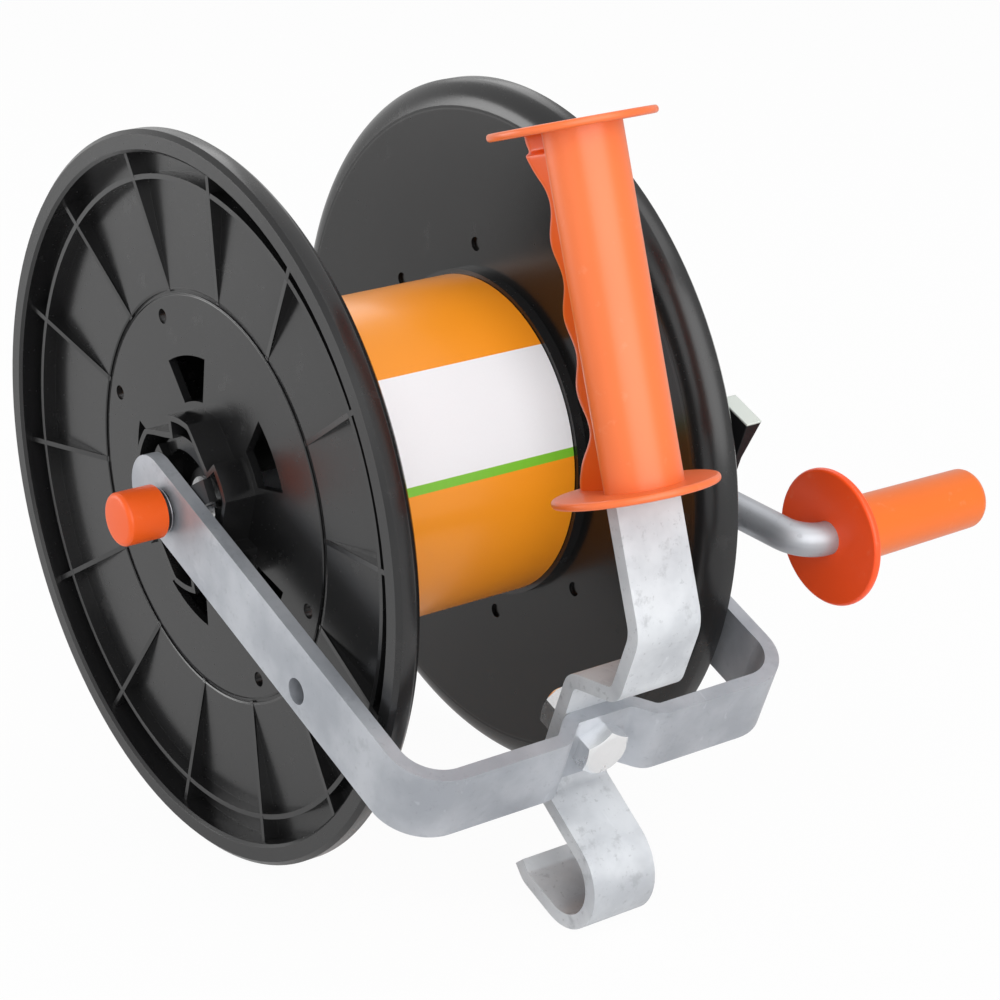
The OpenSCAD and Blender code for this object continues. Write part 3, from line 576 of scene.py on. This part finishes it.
# Hand grip
def on_grip(x, back, along):
    """Points given across, behind and along the hand grip, in the shared frame."""
    y = GRIP_FOOT[0] + along * np.sin(GRIP_LEAN) + back * np.cos(GRIP_LEAN)
    z = GRIP_FOOT[1] + along * np.cos(GRIP_LEAN) - back * np.sin(GRIP_LEAN)
    return level_points(x, y, z)


def finger_crest(along, length):
    """Depth of the fin's back edge: full at both ends, lower between, with a soft wave for each finger."""
    from_end = np.clip(np.minimum(along, length - along) / FIN_FLARE, 0, 1)
    inner = from_end ** 2 * (3 - 2 * from_end)
    fingers = np.clip((along - FINGER_START) / FINGER_PITCH, 0, FINGERS)
    wave = 0.5 - 0.5 * np.cos(2 * np.pi * fingers)
    return FIN_DEPTH - FIN_WAIST * inner - FINGER_WAVE * wave


def grip_body():
    """Half width over depth is the larger of an oval and a fin with a round crest, carried along the grip.

    The oval is a half circle in front and a flatter half ellipse behind. The fin is narrower in the pocket
    below the top disc, so the rows lie closer there. Both ends are sunk in the discs.
    """
    length = GRIP_LEN - 2 * GRIP_DISC_T
    pocket = length - POCKET_BELOW_DISC
    sunk = 1 * MM
    near, past_near = 0.9 * MM, 1.2 * MM
    along = np.concatenate([np.linspace(-sunk, pocket - past_near, 150),
                            np.linspace(pocket - near, pocket + near, 10),
                            np.linspace(pocket + past_near, length + sunk, 14)])
    crest = finger_crest(along, length)[:, None]
    in_pocket = 1 / (1 + np.exp(-(along - pocket) / POCKET_SOFT))
    half_fin = (FIN_T / 2 * (1 - POCKET_CUT * in_pocket))[:, None]
    spread = (1 - np.cos(np.linspace(0, np.pi, 96))) / 2
    depth = -GRIP_R + spread * (crest + GRIP_R)
    reach = np.where(depth > 0, GRIP_BACK, GRIP_R)
    oval = GRIP_R * np.sqrt(np.clip(1 - (depth / reach) ** 2, 0, None))
    past = np.clip((depth - (crest - FIN_NOSE)) / FIN_NOSE, 0, 1)
    fin = half_fin * np.sqrt(np.clip(1 - past ** 2, 0, None))
    half = np.where(depth > 0, smooth_max(oval, fin, FIN_BLEND), oval)
    half[:, 0] = 0
    half[:, -1] = 0
    x = np.concatenate([half, -half[:, -2:0:-1]], axis=1)
    back = np.concatenate([depth, depth[:, -2:0:-1]], axis=1)
    points = on_grip(x, back, along[:, None] + GRIP_DISC_T)
    made = piece("hand_grip_body", points, capped_faces(*x.shape), GRIP_ORANGE)
    settle(made, "frame", ["hand_grip"])


def grip_disc(name, low):
    """End disc of the hand grip: a flat profile with round edges, turned about a line behind its middle."""
    high = low + GRIP_DISC_T
    edge = 1.1 * MM
    profile = rounded([[0, low], [GRIP_DISC_R, low], [GRIP_DISC_R, high], [0, high]], [edge, edge])
    disc = revolved(name, profile, lambda u, v, h: on_grip(u, v + GRIP_DISC_BACK, h), DISC_ORANGE, 128)
    settle(disc, "frame", [])


# Bolt, nut and thread
def hexagon(name, start, end, crowned, material):
    """Hexagon along Y in the level frame from start to end.

    Its radius over the angle is flat / cos(angle from the nearest flat). Where an end is crowned, a cone of
    30 degrees takes the corners off, so that its edge height falls with the radius beyond the crown circle.
    """
    turn = np.linspace(0, 2 * np.pi, 144, endpoint=False)
    off = (turn + np.pi / 6) % (np.pi / 3) - np.pi / 6
    radius = BOLT_FLAT / np.cos(off)
    middle = np.zeros_like(turn)
    crown = np.full_like(turn, BOLT_CROWN)
    drop = np.clip(radius - crown, 0, None) * np.tan(np.radians(30))
    way = np.sign(end - start)
    low = np.full_like(turn, start)
    high = np.full_like(turn, end)
    first = low + way * drop if crowned[0] else low
    last = high - way * drop if crowned[1] else high
    r = np.array([middle, crown, radius, radius, crown, middle])
    y = np.array([low, low, first, last, high, high])
    points = level_points(r * np.cos(turn), y, r * np.sin(turn))
    return piece(name, points, grid_faces(*r.shape), material, HEXAGON_CREASE)


def bolt_shank():
    """Round shank whose tail carries a thread: its radius falls with a triangle wave of height less turn."""
    turn = np.linspace(0, 2 * np.pi, 72, endpoint=False)
    tail = WASHER_FACE + BOLT_WASHER_T + NUT_T + BOLT_TAIL
    y = np.linspace(SEAT_FACE, tail, 220)[:, None]
    phase = (y / THREAD_PITCH - turn / (2 * np.pi)) % 1
    groove = THREAD_DEEP * np.abs(2 * phase - 1)
    threaded = y > WASHER_FACE + BOLT_WASHER_T + 0.5 * NUT_T
    chamfer = np.clip(y - (tail - BOLT_CHAMFER), 0, None)
    r = BOLT_R - np.where(threaded, groove, 0) - chamfer
    points = level_points(r * np.cos(turn), y, r * np.sin(turn))
    made = piece("bolt_shank", points, capped_faces(*r.shape), BRIGHT_ZINC)
    settle(made, "frame", [])


# Flange lips
def flange_lip(name, side, material):
    """Rolled inner edge of a flange: the wall runs out in an arc of LIP_R to the rim, turned about the axle.

    It lies a hair proud of the solid, and the rest of its profile runs back inside the rim and the wall.
    """
    outer = FLANGE_R + LIP_PROUD
    sweep = np.linspace(LIP_START, np.arcsin(LIP_REACH / LIP_R), 24)
    radius = outer - LIP_REACH + LIP_R * np.sin(sweep)
    height = WALL_IN - 0.2 * LIP_PROUD + LIP_R * (1 - np.cos(sweep))
    arc = np.stack([radius, height], axis=1)
    in_rim, from_rim, in_wall = 3 * MM, 6.5 * MM, 2 * MM
    inside = [[outer, RIM_EDGE], [outer - in_rim, RIM_EDGE], [outer - from_rim, WALL_IN + in_wall]]
    profile = np.concatenate([arc, inside, arc[:1]])
    made = revolved(name, profile, lambda u, v, h: level_points(side * h, u, v), material, 256)
    settle(made, "drum", [])


# Knob, spring and crank grip
def knob():
    """Push knob: a slightly domed face, round edges and a hollow for the spring, turned about X."""
    dome, edge, slope = 0.5 * MM, 1.2 * MM, 1.4 * MM
    corners = [[0, KNOB_END], [KNOB_R - edge, KNOB_END + dome], [KNOB_R, KNOB_END + slope],
               [KNOB_R, KNOB_FACE], [KNOB_HOLLOW_R, KNOB_FACE], [KNOB_HOLLOW_R, SPRING_FAR], [0, SPRING_FAR]]
    profile = rounded(corners, [2.2 * MM, 1.6 * MM, 0.4 * MM, 0.2 * MM, 0.2 * MM])
    made = revolved("push_knob", profile, lambda u, v, h: level_points(h, u, v), KNOB_ORANGE)
    settle(made, "lock", ["lock_knob"])


def spring():
    """Round wire carried along a helix about X, from the floor of the knob's hollow to the arm."""
    half = SPRING_WIRE / 2
    steps_a_turn, sides = 40, 12
    turns = np.linspace(0, SPRING_TURNS, SPRING_TURNS * steps_a_turn)
    lie = np.linspace(SPRING_FAR + half, ARM_OUT - half, len(turns))[:, None]
    angle = 2 * np.pi * turns[:, None]
    ring = np.linspace(0, 2 * np.pi, sides, endpoint=False)
    radius = SPRING_R + half * np.cos(ring)
    points = level_points(lie + half * np.sin(ring), radius * np.cos(angle), radius * np.sin(angle))
    made = piece("push_spring", points, capped_faces(len(turns), sides), SPRING_STEEL)
    settle(made, "frame", ["lock_spring"])
    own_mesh(made)


def crank_grip():
    """Turning grip: disc, fillet, slow taper and domed end as one profile, turned about the crank rod."""
    low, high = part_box("crank_grip")
    start, end = low[0], high[0]
    face = start + CRANK_DISC_T
    tip_r = CRANK_GRIP_R - CRANK_TAPER
    edge, fillet, shoulder, dome = 1.2 * MM, 1.5 * MM, 4 * MM, 0.7 * MM
    corners = [[ROD_R, start], [CRANK_DISC_R, start], [CRANK_DISC_R, face], [CRANK_GRIP_R, face],
               [tip_r, end - dome], [0, end]]
    profile = rounded(corners, [edge, edge, fillet, shoulder])
    mid_y, mid_z = -CRANK_R * np.cos(CRANK_ANGLE), CRANK_R * np.sin(CRANK_ANGLE)
    made = revolved("crank_turning_grip", profile, lambda u, v, h: level_points(h, mid_y + u, mid_z + v),
                    CRANK_ORANGE, 128)
    settle(made, "crank_handle", ["crank_grip"])


grip_body()
grip_disc("hand_grip_disc_lower", 0.0)
grip_disc("hand_grip_disc_upper", GRIP_LEN - GRIP_DISC_T)
bolt_head = hexagon("bolt_head", SEAT_FACE, SEAT_FACE - BOLT_HEAD_T, (False, True), BRIGHT_ZINC)
settle(bolt_head, "frame", ["frame_bolt"])
nut_start = WASHER_FACE + BOLT_WASHER_T
bolt_nut = hexagon("bolt_nut", nut_start, nut_start + NUT_T, (True, True), BRIGHT_ZINC)
settle(bolt_nut, "frame", ["frame_nut"])
bolt_shank()
knob()
spring()
crank_grip()
softened("u_frame", "frame_bar", BAR_STEEL, STEEL_EDGE, "frame")
softened("handle_strap", "strap_bar", STRAP_STEEL, STEEL_EDGE, "frame")
softened("near_flange", "flange_lock_side", BLACK, NEAR_FLANGE_EDGE, "drum")
# Painted shade: the far flange takes the darker copy of the black plastic.
softened("far_flange", "flange_crank_side", SHADED_BLACK, FAR_FLANGE_EDGE, "drum")
flange_lip("lip_lock_side", -1, BLACK)
flange_lip("lip_crank_side", 1, BLACK)
softened("crank_hub", "hub_of_crank", HUB_BLACK, HUB_EDGE, "drum")
softened("ratchet_lever", "lever_blade", LEVER_BLACK, LEVER_EDGE, "lever")


# Stage, light and camera
def white_to_view(f, light_path):
    """How far a ray sees plain white: much from the camera and through glass, less in reflections."""
    from_camera = Value(f, light_path.outputs["Is Camera Ray"])
    through_glass = Value(f, light_path.outputs["Is Transmission Ray"])
    mirrored = Value(f, light_path.outputs["Is Glossy Ray"])
    return (from_camera + through_glass) * FLOOR_SEEN + mirrored * FLOOR_MIRRORED


def build_floor():
    """White floor that takes the reel's shadow: mostly plain white to the view, the rest a lit surface."""
    size = FLOOR_HALF
    corners = np.array([[-size, -size, FLOOR_Z], [size, -size, FLOOR_Z],
                        [size, size, FLOOR_Z], [-size, size, FLOOR_Z]])
    f = Finish("pale_floor", base_color=(0.75, 0.75, 0.75), roughness=0.9)
    glow = f.nodes.new("ShaderNodeEmission")
    blend = f.nodes.new("ShaderNodeMixShader")
    f.feed(blend.inputs["Fac"], white_to_view(f, f.nodes.new("ShaderNodeLightPath")))
    f.links.new(f.shader.outputs["BSDF"], blend.inputs[1])
    f.links.new(glow.outputs["Emission"], blend.inputs[2])
    f.links.new(blend.outputs["Shader"], f.output.inputs["Surface"])
    piece("floor", corners, [[0, 1, 2, 3]], f.material)


def build_world():
    """Plain light from all round, which the view and reflections see as white."""
    world = bpy.data.worlds.new("studio")
    bpy.context.scene.world = world
    world.use_nodes = True
    tree = world.node_tree
    tree.nodes.clear()
    out = tree.nodes.new("ShaderNodeOutputWorld")
    back = tree.nodes.new("ShaderNodeBackground")
    path = tree.nodes.new("ShaderNodeLightPath")
    level = tree.nodes.new("ShaderNodeMapRange")
    level.inputs["To Min"].default_value = SURROUND_LIGHT
    level.inputs["To Max"].default_value = SURROUND_SEEN
    sum_of = path.outputs["Is Camera Ray"]
    for ray in ("Is Glossy Ray", "Is Transmission Ray"):
        add = tree.nodes.new("ShaderNodeMath")
        tree.links.new(sum_of, add.inputs[0])
        tree.links.new(path.outputs[ray], add.inputs[1])
        sum_of = add.outputs[0]
    tree.links.new(sum_of, level.inputs["Value"])
    tree.links.new(level.outputs["Result"], back.inputs["Strength"])
    tree.links.new(back.outputs["Background"], out.inputs["Surface"])


def placed(made, right, up, back, place):
    """Puts a lamp or camera in the scene by its three directions and its place."""
    bpy.context.scene.collection.objects.link(made)
    made.matrix_world = Matrix([[right[i], up[i], back[i], place[i]] for i in range(3)] + [[0, 0, 0, 1]])


def lamp(name, place, width, height, power):
    """A soft lamp of a width and height at a place, facing the middle of the drum."""
    data = bpy.data.lights.new(name, "AREA")
    data.shape = "RECTANGLE"
    data.size = width
    data.size_y = height
    data.energy = power
    made = bpy.data.objects.new(name, data)
    away = np.array(place) / np.linalg.norm(place)
    right = np.cross((0.0, 0.0, 1.0), away)
    right = right / np.linalg.norm(right)
    placed(made, right, np.cross(away, right), away, place)
    made.visible_camera = False


def build_camera():
    """Camera of the photograph, turned about the axle by what the reel is tipped beyond CAMERA_TIP."""
    azimuth, elevation = np.radians(CAMERA_AZIMUTH), np.radians(CAMERA_ELEVATION)
    level_x, level_y = np.cos(elevation) * np.sin(azimuth), -np.cos(elevation) * np.cos(azimuth)
    right = np.array([np.cos(azimuth), np.sin(azimuth), 0.0])
    back = np.array([level_x, level_y, np.sin(elevation)])
    up = np.cross(back, right)
    extra = TILT - np.radians(CAMERA_TIP)
    c, s = np.cos(extra), np.sin(extra)
    turn = np.array([[1, 0, 0], [0, c, -s], [0, s, c]])
    data = bpy.data.cameras.new("camera")
    data.sensor_width = CAMERA_SENSOR
    data.lens = CAMERA_LENS
    made = bpy.data.objects.new("camera", data)
    placed(made, turn @ right, turn @ up, turn @ back, turn @ np.array(CAMERA_PLACE))
    bpy.context.scene.camera = made


build_floor()
build_world()
build_camera()
lamp("high", (0.2, -0.7, 1.9), width=1.3, height=1.3, power=9)
lamp("front", (-0.3, -1.9, 0.6), width=2.4, height=2.4, power=46)
lamp("left", (-1.3, 1.25, 0.3), width=1.0, height=0.8, power=12)
lamp("side", (-1.6, -0.4, 0.45), width=1.0, height=0.8, power=2)
lamp("back", (0.6, 1.4, 1.4), width=1.2, height=1.2, power=7)
bpy.context.scene.view_settings.view_transform = "Standard"
